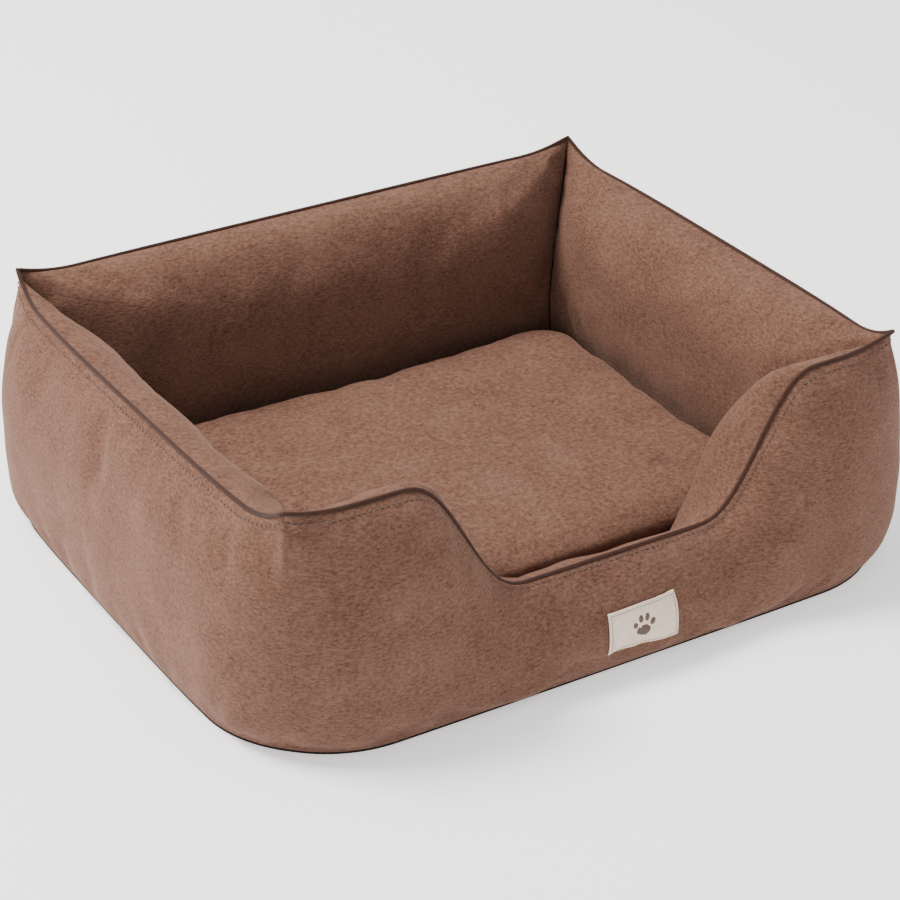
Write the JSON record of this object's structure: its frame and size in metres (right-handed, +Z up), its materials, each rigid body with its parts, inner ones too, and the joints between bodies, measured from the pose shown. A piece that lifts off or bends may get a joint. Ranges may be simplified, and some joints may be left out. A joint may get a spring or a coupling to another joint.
{
  "type": "pet cushion bed",
  "caption": "Rectangular stuffed pet bed with pinched corner ears, a low scooped front for stepping in and a lift-out zipped seat cushion.",
  "frame": {"origin": "on the ground, under the middle of the bed", "axes": "+X to the right of someone who faces the scooped front, along the long side; +Y from the front to the back; +Z up"},
  "size_m": [0.6608, 0.5598, 0.216],
  "materials": {
    "suede": "matte",
    "suede_cushion": "matte",
    "non_slip_cloth": "matte",
    "polyester_fibre": "matte",
    "lining_cloth": "matte",
    "piping_cord": "matte",
    "label_ribbon": "matte",
    "zip_tape": "matte",
    "nylon_coil": "satin",
    "zip_alloy": "satin"
  },
  "bodies": {
    "bed_shell": {"base_cloth": "non_slip_cloth", "base_wadding": "polyester_fibre", "floor_lining": "lining_cloth", "outer_cover": "suede", "ridge_piping": "piping_cord", "label_patch": "label_ribbon", "inner_panel_left": "suede", "wall_fill_left": "polyester_fibre", "inner_panel_front": "suede", "wall_fill_front": "polyester_fibre", "inner_panel_right": "suede", "wall_fill_right": "polyester_fibre", "inner_panel_back": "suede", "wall_fill_back": "polyester_fibre"},
    "seat_cushion": {"cushion_top_cover": "suede_cushion", "cushion_bottom_cover": "suede_cushion", "cushion_fill": "polyester_fibre", "zip_tape_upper": "zip_tape", "zip_tape_lower": "zip_tape", "zip_coil_upper": "nylon_coil", "zip_coil_lower": "nylon_coil", "zip_stop_right": "zip_alloy", "zip_stop_left": "zip_alloy"},
    "zip_slider": {"zip_slider": "zip_alloy"},
    "zip_pull": {"zip_pull": "zip_alloy"}
  },
  "joints": [
    {"name": "cushion_lift", "type": "slide", "parent": "bed_shell", "child": "seat_cushion", "axis": [0, 0, 1], "range_m": [0, 0.25]},
    {"name": "zip_slide", "type": "slide", "parent": "seat_cushion", "child": "zip_slider", "axis": [-1, 0, 0], "range_m": [0, 0.341]},
    {"name": "zip_pull_hinge", "type": "hinge", "parent": "zip_slider", "child": "zip_pull", "pos_m": [0.1705, 0.1719, 0.03126], "axis": [0, 0, -1], "range_deg": [0, 180]}
  ]
}
